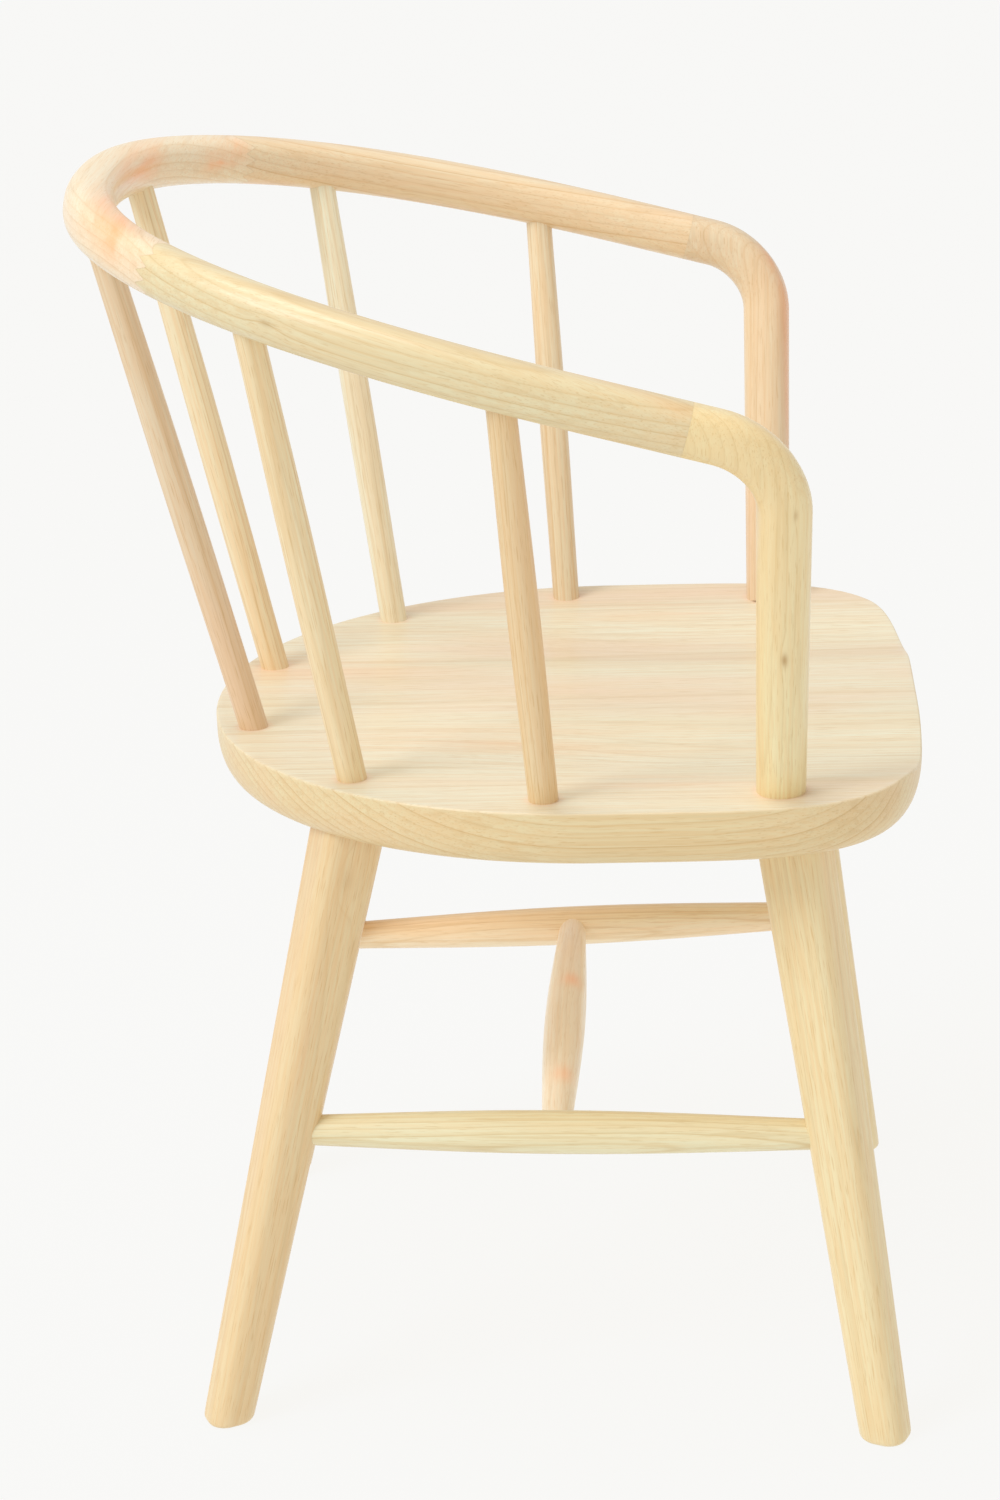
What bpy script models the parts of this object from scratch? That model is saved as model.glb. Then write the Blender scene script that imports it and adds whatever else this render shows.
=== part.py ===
# Low-back wooden armchair: a bent bow of five pieces on six spindles and two posts,
# a solid dished seat, four splayed legs and an H of turned stretchers.
# Metres, +Z up, floor at z = 0, the chair faces -Y, its mirror plane is x = 0.
# "right" is the sitter's right hand, at -X.

import math

import bmesh
import bpy
from mathutils import Matrix, Vector

# Fits
clearance = 0.0003
socketFloorGap = 0.0006
socketMouthReach = 0.035

# Seat: one solid board, widest on the line y = seatWidestY
seatHeight = 0.442
seatThickness = 0.036
seatHalfWidth = 0.233
seatFrontDepth = 0.2035
seatBackDepth = 0.2585
seatWidestY = -0.040
seatFrontPower = 4.3
seatBackPower = 2.05
seatRimSoftness = 0.0012
seatWallDepth = 0.011
seatUndercut = 0.012
hollowDepth = 0.009
hollowCentreX = 0.115
hollowHalfWidth = 0.070
hollowFrontY = -0.120
hollowBackY = 0.120

# Bow: plan is half a superellipse from the back to bowSideY, then straight arms
bowHalfWidth = 0.270
bowBackDepth = 0.3345
bowSideY = -0.060
bowPower = 2.3
bowHeight = 0.7148
bowSlope = 0.265
bowSag = 0.04
bowThickness = 0.0315
bowSectionPower = 2.5
crestReach = 0.199
fingerLength = 0.009
fingerCount = 4
fingerSpare = 0.011
armTenonRadius = 0.006
armTenonLength = 0.012

# Arm posts: the arm turns down through an elbow and leans in to the seat
postCornerY = -0.154
postFootX = 0.197
postFootY = -0.151
postDiameter = 0.0305
elbowReach = 0.038
elbowFullness = 0.56
armJointY = -0.0985
postTenonRadius = 0.010
postTenonLength = 0.020
elbowSocketMouthReach = 0.010

# Spindles: foot on the seat, and the direction, seen from above, in which the bow is met
spindleFoot = {"front": (0.206, -0.0065), "middle": (0.1625, 0.1145), "back": (0.0615, 0.188)}
spindleBearing = {"front": 88.4, "middle": 54.6, "back": 17.9}
spindleFootRadius = 0.0093
spindleHeadRadius = 0.0088
spindleSwell = 0.0008
spindleEndEase = 0.0001
spindleSocketDepth = 0.016
spindleHeadShort = 0.002

# Legs: rounded squares, turned to face the splay
legFoot = {"rear": (0.1825, 0.218), "front": (0.2105, -0.2135)}
legHead = {"rear": (0.138, 0.120), "front": (0.153, -0.158)}
legTwist = {"rear": 26.0, "front": -23.0}
legHeadSide = 0.042
legFootSide = 0.0315
legHeadCornerShare = 0.26
legFootCornerShare = 0.40
legFootRounding = 0.004
legTenonRadius = 0.010
legTenonLength = 0.018

# Stretchers: turned, thickest in the middle
stretcherHeight = {"rear": 0.1995, "front": 0.202}
stretcherEndRadius = 0.0094
stretcherMiddleRadius = 0.014
stretcherSwellPower = 1.3
stretcherEndEase = 0.0005
stretcherPastAxis = 0.005
crossTenonShort = 0.001
crossBehindMiddle = 0.003

# Mesh fineness
seatSides = 80
seatTopRings = 7
seatEdgeRings = 5
bowSides = 20
bowStep = 0.017
roundSides = 20
spindleRings = 6
stretcherRings = 12
legCornerPoints = 5
legEdgeRings = 4
legRings = 4
postRings = 6
pathPoints = 240
armPathPoints = 60
headingProbe = 0.002
sharpAngle = 38.0

# Bare, lightly finished wood
seatColour = (0.86, 0.69, 0.47)
crestColour = (0.85, 0.64, 0.40)
frameColour = (0.82, 0.65, 0.41)
woodRoughness = 0.45

sides = {"right": -1.0, "left": 1.0}


def clearScene():
    for thing in list(bpy.data.objects):
        bpy.data.objects.remove(thing, do_unlink=True)


def woodMaterial(name, colour):
    material = bpy.data.materials.new(name)
    material.use_nodes = True
    shader = material.node_tree.nodes["Principled BSDF"]
    shader.inputs["Base Color"].default_value = (*colour, 1.0)
    shader.inputs["Roughness"].default_value = woodRoughness
    shader.inputs["Metallic"].default_value = 0.0
    return material


def addObject(name, mesh, chair=None):
    thing = bpy.data.objects.new(name, mesh)
    bpy.context.collection.objects.link(thing)
    if chair:
        thing.parent = chair
    return thing


def addPiece(name, rings, colour, chair, endPoints=(None, None)):
    """rings are loops of equal length; an end is closed flat or to a point"""
    bm = bmesh.new()
    loops = [[bm.verts.new(point) for point in ring] for ring in rings]
    for lower, upper in zip(loops, loops[1:]):
        for i in range(len(lower)):
            j = (i + 1) % len(lower)
            bm.faces.new((lower[i], lower[j], upper[j], upper[i]))
    for loop, endPoint in zip((loops[0], loops[-1]), endPoints):
        if endPoint is None:
            bm.faces.new(loop)
            continue
        tip = bm.verts.new(endPoint)
        for i in range(len(loop)):
            bm.faces.new((loop[i], loop[(i + 1) % len(loop)], tip))
    bmesh.ops.recalc_face_normals(bm, faces=bm.faces)
    mesh = bpy.data.meshes.new(name)
    bm.to_mesh(mesh)
    bm.free()
    mesh.shade_smooth()
    mesh.set_sharp_from_angle(angle=math.radians(sharpAngle))
    piece = addObject(name, mesh, chair)
    piece.data.materials.append(woodMaterial(name + "_wood", colour))
    return piece


def cut(piece, cutter):
    cutter.hide_render = True
    cutter.display_type = "WIRE"
    boolean = piece.modifiers.new(cutter.name, "BOOLEAN")
    boolean.operation = "DIFFERENCE"
    boolean.solver = "EXACT"
    boolean.object = cutter


def boreSocket(piece, tip, outward, radius, mouthReach=socketMouthReach):
    """a round hole that starts just past the tenon's tip and runs outward, clear of the piece"""
    floor = tip - outward * socketFloorGap
    mouth = tip + outward * mouthReach
    run = floor - mouth
    bm = bmesh.new()
    turn = run.to_track_quat("Z", "Y").to_matrix().to_4x4()
    place = Matrix.Translation((mouth + floor) / 2.0) @ turn
    holeRadius = (radius + clearance) / math.cos(math.pi / roundSides)
    bmesh.ops.create_cone(
        bm, cap_ends=True, segments=roundSides, radius1=holeRadius, radius2=holeRadius,
        depth=run.length, matrix=place)
    mesh = bpy.data.meshes.new(piece.name + "_socket")
    bm.to_mesh(mesh)
    bm.free()
    cut(piece, addObject(piece.name + "_socket", mesh, piece.parent))


def smoothStep(value, start, end):
    share = min(max((value - start) / (end - start), 0.0), 1.0)
    return share * share * (3.0 - 2.0 * share)


def powered(value, power):
    return math.copysign(abs(value) ** (2.0 / power), value)


def superellipse(count, halfWidth, halfHeight, power):
    turns = [2.0 * math.pi * i / count for i in range(count)]
    return [(halfWidth * powered(math.cos(a), power), halfHeight * powered(math.sin(a), power))
            for a in turns]


def across(direction, hint):
    """two unit vectors square to direction, the second as near to hint as can be"""
    sideways = hint.cross(direction).normalized()
    return sideways, direction.cross(sideways)


def roundRing(centre, direction, radius, count=roundSides):
    sideways, upward = across(direction, Vector((0.0, 1.0, 0.0)))
    return [centre + sideways * x + upward * y
            for x, y in superellipse(count, radius, radius, 2.0)]


def slideToHeight(point, direction, height):
    return point + direction * ((height - point.z) / direction.z)


# Seat

def seatOutline(inset, share=1.0):
    points = []
    for i in range(seatSides):
        turn = 2.0 * math.pi * i / seatSides
        toFront = math.sin(turn) < 0.0
        depth = seatFrontDepth if toFront else seatBackDepth
        power = seatFrontPower if toFront else seatBackPower
        x = (seatHalfWidth - inset) * share * powered(math.cos(turn), power)
        y = (depth - inset) * share * powered(math.sin(turn), power)
        points.append((x, seatWidestY + y))
    return points


def seatTop(x, y):
    """two shallow hollows for the thighs, open at the front edge, with a ridge between"""
    reach = min(abs(abs(x) - hollowCentreX) / hollowHalfWidth, 1.0)
    lateral = math.cos(reach * math.pi / 2.0) ** 2
    forward = 1.0 - smoothStep(y, hollowFrontY, hollowBackY)
    return seatHeight - hollowDepth * lateral * forward


def seatRing(inset, drop, share=1.0):
    """drop is measured from the dished top near the rim, and from the flat level below it"""
    ring = []
    for x, y in seatOutline(inset, share):
        level = seatTop(x, y) if drop <= seatRimSoftness else seatHeight
        ring.append(Vector((x, y, level - drop)))
    return ring


def makeSeat(chair):
    rings = []
    for i in range(1, seatTopRings + 1):
        rings.append(seatRing(seatRimSoftness, 0.0, i / seatTopRings))
    rings.append(seatRing(seatRimSoftness * 0.3, seatRimSoftness * 0.3))
    rings.append(seatRing(0.0, seatRimSoftness))
    for i in range(seatEdgeRings + 1):
        turn = math.pi / 2.0 * i / seatEdgeRings
        inset = seatUndercut * (1.0 - math.cos(turn))
        drop = seatWallDepth + (seatThickness - seatWallDepth) * math.sin(turn)
        rings.append(seatRing(inset, drop))
    centre = Vector((0.0, seatWidestY, seatTop(0.0, seatWidestY)))
    return addPiece("seat", rings, seatColour, chair, (centre, None))


# Bow

def bowLevel(y):
    return bowHeight + bowSlope * y - bowSag * y * y


def bowPlan(turn):
    x = bowHalfWidth * powered(math.sin(turn), bowPower)
    y = bowSideY + bowBackDepth * powered(math.cos(turn), bowPower)
    return Vector((x, y, bowLevel(y)))


def postLine(side):
    corner = Vector((side * bowHalfWidth, postCornerY, bowLevel(postCornerY)))
    foot = Vector((side * postFootX, postFootY, seatHeight))
    return corner, foot


def halfBow(side):
    """centre line from the middle of the back, round the arm and the elbow, to the seat"""
    line = [bowPlan(math.pi / 2.0 * i / pathPoints) for i in range(pathPoints + 1)]
    line = [Vector((side * p.x, p.y, p.z)) for p in line]
    corner, foot = postLine(side)
    armEnd = Vector((corner.x, postCornerY + elbowReach, bowLevel(postCornerY + elbowReach)))
    down = (foot - corner).normalized()
    postTop = corner + down * elbowReach
    before = armEnd.lerp(corner, elbowFullness)
    after = postTop.lerp(corner, elbowFullness)
    for i in range(1, armPathPoints):
        y = bowSideY + (armEnd.y - bowSideY) * i / armPathPoints
        line.append(Vector((corner.x, y, bowLevel(y))))
    for i in range(pathPoints + 1):
        t = i / pathPoints
        s = 1.0 - t
        bend = armEnd * s ** 3 + before * 3 * s * s * t + after * 3 * s * t * t + postTop * t ** 3
        line.append(bend)
    line.append(foot)
    return line


class Route:
    """a centre line that can be read by the distance along it"""

    def __init__(self, points):
        self.points = points
        self.reach = [0.0]
        for a, b in zip(points, points[1:]):
            self.reach.append(self.reach[-1] + (b - a).length)

    def at(self, distance):
        i = 1
        while i < len(self.points) - 1 and self.reach[i] < distance:
            i += 1
        span = self.reach[i] - self.reach[i - 1]
        return self.points[i - 1].lerp(self.points[i], (distance - self.reach[i - 1]) / span)

    def heading(self, distance):
        ahead = self.at(distance + headingProbe)
        return (ahead - self.at(distance - headingProbe)).normalized()

    def distanceWhere(self, test):
        return next(reach for point, reach in zip(self.points, self.reach) if test(point))


def bowSection(centre, heading, upHint):
    sideways, upward = across(heading, upHint)
    half = bowThickness / 2.0
    return [centre + sideways * x + upward * y
            for x, y in superellipse(bowSides, half, half, bowSectionPower)], upward


def bowNormal(y):
    return Vector((0.0, -(bowSlope - 2.0 * bowSag * y), 1.0)).normalized()


def sweepBow(route, start, end):
    """rings along the route; the section keeps its top up round the bends"""
    count = max(2, math.ceil((end - start) / bowStep))
    upHint = bowNormal(route.at(start).y)
    rings = []
    for i in range(count + 1):
        distance = start + (end - start) * i / count
        ring, upHint = bowSection(route.at(distance), route.heading(distance), upHint)
        rings.append(ring)
    return rings


def crestRoute():
    right = halfBow(sides["right"])
    left = halfBow(sides["left"])
    return Route(list(reversed(right)) + left[1:]), Route(right).reach[-1]


def fingerCutter(piece, side, reach, away):
    """takes off what lies beyond a zigzag, forward of it (away 1) or behind it (away -1)"""
    route = Route(halfBow(side))
    centre = route.at(reach)
    heading = route.heading(reach)
    sideways, upward = across(heading, bowNormal(centre.y))
    pitch = bowThickness / fingerCount
    slant = math.hypot(fingerLength, pitch / 2.0) / (pitch / 2.0)
    offset = -away * clearance / 2.0 * slant
    outline = []
    for i in range(4 * fingerCount + 1):
        along = offset + (fingerLength / 2.0 if i % 2 else -fingerLength / 2.0)
        outline.append((along, -bowThickness + i * pitch / 2.0))
    beyond = away * (fingerLength + 2.0 * fingerSpare)
    outline.append((beyond, bowThickness))
    outline.append((beyond, -bowThickness))
    bm = bmesh.new()
    near = []
    for along, up in outline:
        near.append(bm.verts.new(centre + heading * along + upward * up - sideways * bowThickness))
    face = bm.faces.new(near)
    grown = bmesh.ops.extrude_face_region(bm, geom=[face])["geom"]
    moved = [item for item in grown if isinstance(item, bmesh.types.BMVert)]
    bmesh.ops.translate(bm, verts=moved, vec=sideways * 2.0 * bowThickness)
    bmesh.ops.recalc_face_normals(bm, faces=bm.faces)
    mesh = bpy.data.meshes.new(piece.name + "_fingers")
    bm.to_mesh(mesh)
    bm.free()
    cut(piece, addObject(piece.name + "_fingers", mesh, piece.parent))


def makeCrest(chair):
    route, middle = crestRoute()
    start = middle - crestReach - fingerSpare
    end = middle + crestReach + fingerSpare
    crest = addPiece("crest_rail", sweepBow(route, start, end), crestColour, chair)
    for word in sides:
        fingerCutter(crest, sides[word], crestReach, 1.0)
    return crest


def armJoint(route):
    return route.distanceWhere(lambda point: point.y <= armJointY)


def makeArm(word, chair):
    route = Route(halfBow(sides[word]))
    end = armJoint(route) - clearance / 2.0
    rings = sweepBow(route, crestReach - fingerSpare, end)
    heading = route.heading(end)
    for reach in (0.0, armTenonLength):
        tip = route.at(end) + heading * reach
        sideways, upward = across(heading, bowNormal(tip.y))
        rings.append([tip + sideways * x + upward * y
                      for x, y in superellipse(bowSides, armTenonRadius, armTenonRadius, 2.0)])
    arm = addPiece("arm_rail_" + word, rings, frameColour, chair)
    fingerCutter(arm, sides[word], crestReach, -1.0)
    return arm


def postAxes(ring, centre, down):
    """the section's two axes where the elbow ends, so the post carries on without a twist"""
    upward = ring[bowSides // 4] - centre
    sideways = upward.cross(down).normalized()
    return sideways, down.cross(sideways)


def makePost(word, chair, seat):
    route = Route(halfBow(sides[word]))
    start = armJoint(route) + clearance / 2.0
    corner, foot = postLine(sides[word])
    down = (foot - corner).normalized()
    elbowEnd = route.reach[-2]
    rings = sweepBow(route, start, elbowEnd)
    sideways, upward = postAxes(rings[-1], route.at(elbowEnd), down)
    for i in range(1, postRings + 1):
        share = i / postRings
        centre = route.at(elbowEnd).lerp(foot, share)
        half = (bowThickness + (postDiameter - bowThickness) * share) / 2.0
        power = bowSectionPower + (2.0 - bowSectionPower) * share
        rings.append([centre + sideways * x + upward * y
                      for x, y in superellipse(bowSides, half, half, power)])
    tenon = [foot + sideways * x + upward * y
             for x, y in superellipse(bowSides, postTenonRadius, postTenonRadius, 2.0)]
    shoulder = seatHeight + clearance
    rings[-1] = [slideToHeight(point, down, shoulder) for point in rings[-1]]
    rings.append([slideToHeight(point, down, shoulder) for point in tenon])
    rings.append([point + down * postTenonLength for point in tenon])
    post = addPiece("arm_post_" + word, rings, frameColour, chair)
    heading = route.heading(start)
    armTip = route.at(start) + heading * armTenonLength
    boreSocket(post, armTip, -heading, armTenonRadius, armTenonLength + elbowSocketMouthReach)
    boreSocket(seat, foot + down * postTenonLength, -down, postTenonRadius)
    return post


# Spindles

def spindleLine(word, which):
    x, y = spindleFoot[which]
    foot = Vector((sides[word] * x, y, seatHeight))
    bearing = math.radians(spindleBearing[which])
    route = Route(halfBow(sides[word]))
    met = route.distanceWhere(lambda p: math.atan2(abs(p.x), p.y) >= bearing)
    return foot, route.at(met)


def makeSpindle(word, which, chair, seat, holder):
    foot, head = spindleLine(word, which)
    up = (head - foot).normalized()
    bottom = foot - up * spindleSocketDepth
    top = head - up * spindleHeadShort
    rings = []
    for i in range(spindleRings + 1):
        share = i / spindleRings
        radius = spindleFootRadius + (spindleHeadRadius - spindleFootRadius) * share
        radius += spindleSwell * math.sin(math.pi * share) ** 2
        rings.append(roundRing(bottom.lerp(top, share), up, radius))
    addPiece(f"spindle_{which}_{word}", rings, frameColour, chair)
    boreSocket(seat, bottom, up, spindleFootRadius + spindleEndEase)
    boreSocket(holder, top, -up, spindleHeadRadius + spindleEndEase)


# Legs

def level(angle):
    return Vector((math.cos(angle), math.sin(angle), 0.0))


def legRing(centre, side, cornerShare, twist):
    """a square with rounded corners, turned about the vertical"""
    radius = side * cornerShare
    reach = (side / 2.0 - radius) * math.sqrt(2.0)
    quarter = math.pi / 2.0
    ring = []
    for corner in range(4):
        hub = centre + level(twist + quarter * (corner + 0.5)) * reach
        for i in range(legCornerPoints):
            angle = twist + quarter * (corner + i / (legCornerPoints - 1))
            ring.append(hub + level(angle) * radius)
    return ring


def legAxis(word, end):
    footX, footY = legFoot[end]
    headX, headY = legHead[end]
    foot = Vector((sides[word] * footX, footY, 0.0))
    head = Vector((sides[word] * headX, headY, seatHeight - seatThickness))
    return foot, head


def legPoint(word, end, height):
    foot, head = legAxis(word, end)
    return foot.lerp(head, height / head.z)


def makeLeg(word, end, chair, seat):
    foot, head = legAxis(word, end)
    up = (head - foot).normalized()
    twist = -sides[word] * math.radians(legTwist[end])
    shoulder = head.z - clearance
    rings = []
    for i in range(legEdgeRings):
        turn = math.pi / 2.0 * i / (legEdgeRings - 1)
        height = legFootRounding * (1.0 - math.cos(turn))
        inset = legFootRounding * (1.0 - math.sin(turn))
        width = legFootSide - 2.0 * inset
        rings.append(legRing(legPoint(word, end, height), width, legFootCornerShare, twist))
    for i in range(1, legRings + 1):
        height = shoulder * i / legRings
        share = height / head.z
        width = legFootSide + (legHeadSide - legFootSide) * share
        cornerShare = legFootCornerShare + (legHeadCornerShare - legFootCornerShare) * share
        rings.append(legRing(legPoint(word, end, height), width, cornerShare, twist))
    centre = legPoint(word, end, shoulder)
    tenon = [centre + (point - centre).normalized() * legTenonRadius for point in rings[-1]]
    rings.append(tenon)
    tip = head + up * legTenonLength
    rings.append([point + up * (tip - point).dot(up) for point in tenon])
    leg = addPiece(f"leg_{end}_{word}", rings, frameColour, chair)
    boreSocket(seat, tip, -up, legTenonRadius)
    return leg


# Stretchers

def turnedBar(name, start, end, chair):
    rings = []
    along = (end - start).normalized()
    for i in range(stretcherRings + 1):
        share = i / stretcherRings
        swell = max(math.sin(math.pi * share), 0.0) ** stretcherSwellPower
        radius = stretcherEndRadius + (stretcherMiddleRadius - stretcherEndRadius) * swell
        rings.append(roundRing(start.lerp(end, share), along, radius))
    return addPiece(name, rings, frameColour, chair)


def stretcherLine(word):
    rear = legPoint(word, "rear", stretcherHeight["rear"])
    front = legPoint(word, "front", stretcherHeight["front"])
    return rear, front


def makeSideStretcher(word, chair, legs):
    rear, front = stretcherLine(word)
    along = (front - rear).normalized()
    start = rear - along * stretcherPastAxis
    end = front + along * stretcherPastAxis
    boreSocket(legs["rear"], start, along, stretcherEndRadius + stretcherEndEase)
    boreSocket(legs["front"], end, -along, stretcherEndRadius + stretcherEndEase)
    return turnedBar("side_stretcher_" + word, start, end, chair)


def makeCrossStretcher(chair, bars):
    middles = {}
    for word in sides:
        rear, front = stretcherLine(word)
        share = 0.5 - crossBehindMiddle / (rear - front).length
        middles[word] = rear.lerp(front, share)
    along = (middles["left"] - middles["right"]).normalized()
    start = middles["right"] + along * crossTenonShort
    end = middles["left"] - along * crossTenonShort
    boreSocket(bars["right"], start, along, stretcherEndRadius + stretcherEndEase)
    boreSocket(bars["left"], end, -along, stretcherEndRadius + stretcherEndEase)
    turnedBar("cross_stretcher", start, end, chair)


def centreOnOrigin(chair):
    """the origin sits under the middle of the chair's box"""
    solids = [piece for piece in chair.children if not piece.hide_render]
    depths = [vertex.co.y for piece in solids for vertex in piece.data.vertices]
    chair.location.y = -(min(depths) + max(depths)) / 2.0


def build():
    clearScene()
    chair = addObject("armchair", None)
    seat = makeSeat(chair)
    crest = makeCrest(chair)
    bars = {}
    for word in sides:
        arm = makeArm(word, chair)
        makePost(word, chair, seat)
        for which in spindleFoot:
            makeSpindle(word, which, chair, seat, crest if which == "back" else arm)
        legs = {end: makeLeg(word, end, chair, seat) for end in legFoot}
        bars[word] = makeSideStretcher(word, chair, legs)
    makeCrossStretcher(chair, bars)
    centreOnOrigin(chair)


build()
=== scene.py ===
# Low-back wooden armchair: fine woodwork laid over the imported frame.
# Metres, +Z up. The sitter faces -Y, and "right" is the sitter's right hand, at -X.
import math

import bmesh
import bpy
import numpy as np
from mathutils import Matrix, Vector


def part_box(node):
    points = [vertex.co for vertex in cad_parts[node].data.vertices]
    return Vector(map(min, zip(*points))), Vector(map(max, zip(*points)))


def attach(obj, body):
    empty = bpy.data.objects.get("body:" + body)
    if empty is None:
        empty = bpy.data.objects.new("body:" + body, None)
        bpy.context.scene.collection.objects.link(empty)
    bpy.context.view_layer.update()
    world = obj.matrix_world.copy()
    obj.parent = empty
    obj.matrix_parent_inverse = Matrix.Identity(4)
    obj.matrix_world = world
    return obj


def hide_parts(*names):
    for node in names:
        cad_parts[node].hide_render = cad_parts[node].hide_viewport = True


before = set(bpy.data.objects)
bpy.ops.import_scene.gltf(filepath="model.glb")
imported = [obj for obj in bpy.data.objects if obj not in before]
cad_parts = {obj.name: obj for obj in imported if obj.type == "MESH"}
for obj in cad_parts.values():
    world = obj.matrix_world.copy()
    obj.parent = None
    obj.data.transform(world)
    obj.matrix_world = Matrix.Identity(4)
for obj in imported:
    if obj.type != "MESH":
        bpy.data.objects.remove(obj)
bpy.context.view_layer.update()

sides = {"Right": -1.0, "Left": 1.0}
sharpAngle = 40.0  # degrees between faces, above which an edge shows as an edge
seedStride = (3.17, 1.71, 5.03)  # how far one step of a seed moves a noise


# camera, floor and light
studio = {
    "cameraPlace": (-2.19666, -0.13492, 1.19248),
    "cameraRight": (0.05149724, -0.99794862, -0.03803409),
    "cameraUp": (0.34028582, -0.01827125, 0.94014452),
    "cameraAhead": (0.93891086, 0.06135731, -0.33864684),
    "lens": 83.966, "sensorWidth": 36.0, "clipEnd": 100.0,
    "worldColour": (0.975, 0.945, 0.90),
    "worldStrength": 0.70,
    "keyFrom": (-0.46, 0.60, 0.66),
    "keyStrength": 1.20,
    "keySoftness": 28.0,
    "keyColour": (0.96, 1.0, 1.06),
    "topStrength": 9.0,
    "topSize": 0.8,
    "topPlace": (-0.10, 0.35, 2.3),
    "topAim": (0.0, 0.0, 0.6),
    "floorReach": 30.0,
    "floorColour": (0.50, 0.72, 1.0),
    "floorGlow": (0.975, 0.956, 0.922),
    "floorGlowShare": 0.93,
}


def makeCamera():
    data = bpy.data.cameras.new("studioCamera")
    data.lens = studio["lens"]
    data.sensor_width = studio["sensorWidth"]
    data.clip_end = studio["clipEnd"]
    camera = bpy.data.objects.new("studioCamera", data)
    bpy.context.scene.collection.objects.link(camera)
    turn = Matrix((studio["cameraRight"], studio["cameraUp"],
                   -Vector(studio["cameraAhead"]))).transposed()
    camera.matrix_world = Matrix.Translation(studio["cameraPlace"]) @ turn.to_4x4()
    bpy.context.scene.camera = camera


# shader helpers
class Wire:
    # a node's output, so that sums on values read as sums
    def __init__(self, bench, socket):
        self.bench = bench
        self.socket = socket

    def sum(self, operation, first, second):
        return self.bench.node("ShaderNodeMath", {"operation": operation}, {0: first, 1: second})

    def __add__(self, other):
        return self.sum("ADD", self, other)

    def __radd__(self, other):
        return self.sum("ADD", other, self)

    def __sub__(self, other):
        return self.sum("SUBTRACT", self, other)

    def __rsub__(self, other):
        return self.sum("SUBTRACT", other, self)

    def __mul__(self, other):
        return self.sum("MULTIPLY", self, other)

    def __rmul__(self, other):
        return self.sum("MULTIPLY", other, self)

    def __truediv__(self, other):
        return self.sum("DIVIDE", self, other)

    def __rtruediv__(self, other):
        return self.sum("DIVIDE", other, self)

    def __pow__(self, other):
        return self.sum("POWER", self, other)

    def __rpow__(self, other):
        return self.sum("POWER", other, self)


class Bench:
    # one material's node tree
    def __init__(self, name):
        self.material = bpy.data.materials.new(name)
        self.material.use_nodes = True
        self.tree = self.material.node_tree
        self.tree.nodes.clear()

    def node(self, kind, settings=None, values=None, out=0):
        made = self.tree.nodes.new(kind)
        for key, value in (settings or {}).items():
            if key == "stops":
                self.setStops(made.color_ramp, value)
            else:
                setattr(made, key, value)
        for key, value in (values or {}).items():
            if isinstance(value, Wire):
                self.tree.links.new(value.socket, made.inputs[key])
            else:
                made.inputs[key].default_value = value
        return None if out is None else Wire(self, made.outputs[out])

    def setStops(self, ramp, stops):
        ramp.interpolation = "EASE"
        while len(ramp.elements) < len(stops):
            ramp.elements.new(0.5)
        for element, (place, grey) in zip(ramp.elements, stops):
            element.position = place
            element.color = (grey, grey, grey, 1.0)

    def vector(self, operation, first, second, out=0):
        return self.node("ShaderNodeVectorMath", {"operation": operation}, {0: first, 1: second}, out)

    def mix(self, share, first, second, blend="MIX"):
        return self.node("ShaderNodeMix", {"data_type": "RGBA", "blend_type": blend},
                         {0: share, 6: first, 7: second}, 2)

    def ramp(self, value, stops):
        return self.node("ShaderNodeValToRGB", {"stops": stops}, {0: value})

    def noise(self, place, stretch, seed, detail, roughness):
        spread = self.vector("MULTIPLY", place, stretch)
        moved = self.vector("ADD", spread, tuple(seed * stride for stride in seedStride))
        return self.node("ShaderNodeTexNoise", {"noise_dimensions": "3D"},
                         {"Vector": moved, "Scale": 1.0, "Detail": detail, "Roughness": roughness})

    def grain(self, board, seed, name):
        mark = figure[name]
        raw = self.noise(board, mark["stretch"], seed + mark["step"],
                         mark.get("detail", 2.0), mark.get("roughness", 0.5))
        return self.ramp(raw, mark["stops"]) if "stops" in mark else raw - 0.5

    def attribute(self, name):
        return self.node("ShaderNodeAttribute", {"attribute_name": name}, None, "Fac")

    def fade(self, near):
        # one at the middle, falling off smoothly
        return self.node("ShaderNodeMath", {"operation": "EXPONENT"}, {0: near * -1.0})


def flat(colour):
    return (*colour, 1.0)


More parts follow.
